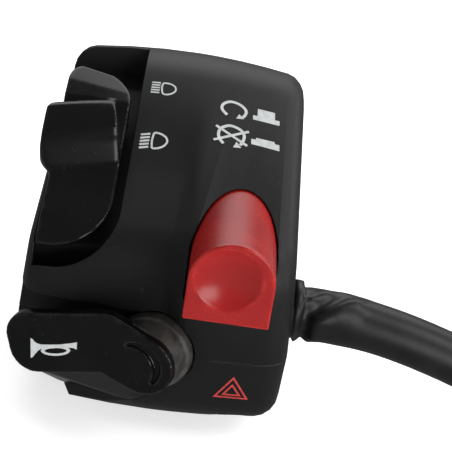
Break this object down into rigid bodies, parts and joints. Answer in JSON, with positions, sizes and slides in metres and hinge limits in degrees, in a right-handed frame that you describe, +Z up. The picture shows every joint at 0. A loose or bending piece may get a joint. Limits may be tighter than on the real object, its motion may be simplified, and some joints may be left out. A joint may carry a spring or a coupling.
{
  "type": "motorcycle handlebar switch cluster",
  "caption": "Two-part black moulded switch housing that clamps on a handlebar, with a beam lever, red stop button, horn lever, hazard slider and a sleeved cable with connector.",
  "frame": {"origin": "on the handlebar's axis, in the plane where the two housing halves meet, halfway along the housing", "axes": "+X along the bar towards the cable, +Y towards the front of the machine, +Z up, the rider at -Y"},
  "size_m": [0.1966, 0.1182, 0.062],
  "materials": {
    "satin_black": "satin moulded plastic with a fine grain",
    "gloss_black": "gloss moulded plastic",
    "red": "gloss moulded plastic",
    "steel": "zinc plated",
    "brass": "plain",
    "board": "moulded phenolic",
    "soft_black": "soft vinyl sleeve",
    "tie_black": "nylon",
    "lead": "vinyl insulation",
    "connector_white": "natural nylon"
  },
  "bodies": {
    "housing": {"upper_housing": "satin_black", "lower_housing": "satin_black", "housing_screws": "steel", "beam_pivot_pin": "steel", "beam_contact_base": "board", "beam_terminals": "brass", "stop_spring": "steel", "stop_contact_base": "board", "stop_terminals": "brass", "horn_contact_bracket": "brass", "hazard_contact_base": "board", "cable_grommet": "soft_black", "cable_sleeve": "soft_black", "cable_coil": "soft_black", "cable_tie": "tie_black", "connector_leads": "lead", "connector_housing": "connector_white", "connector_terminals": "brass"},
    "beam_lever": {"beam_lever": "gloss_black", "beam_wiper": "brass"},
    "stop_button": {"stop_button": "red", "stop_contact_bridge": "brass"},
    "horn_lever": {"horn_lever": "gloss_black", "horn_clip": "steel", "horn_return_spring": "steel", "horn_moving_contact": "brass"},
    "hazard_slider": {"hazard_slider": "gloss_black", "hazard_moving_contact": "brass"}
  },
  "joints": [
    {"name": "beam_swing", "type": "hinge", "parent": "housing", "child": "beam_lever", "pos_m": [0, 0.00023, 0.01683], "axis": [-1, 0, 0], "range_deg": [0, 12]},
    {"name": "stop_push", "type": "slide", "parent": "housing", "child": "stop_button", "axis": [0, 1, 0], "range_m": [0, 0.0045], "stiffness_N_per_m": 400, "springref_m": -0.004, "deforming": ["stop_spring"]},
    {"name": "horn_press", "type": "hinge", "parent": "housing", "child": "horn_lever", "pos_m": [0.0012, -0.027, 0], "axis": [0.2756, 0.9613, 0], "range_deg": [0, 7], "stiffness_Nm_per_rad": 0.5, "springref_deg": -8.59},
    {"name": "hazard_slide", "type": "slide", "parent": "housing", "child": "hazard_slider", "axis": [1, 0, 0], "range_m": [0, 0.005]}
  ]
}
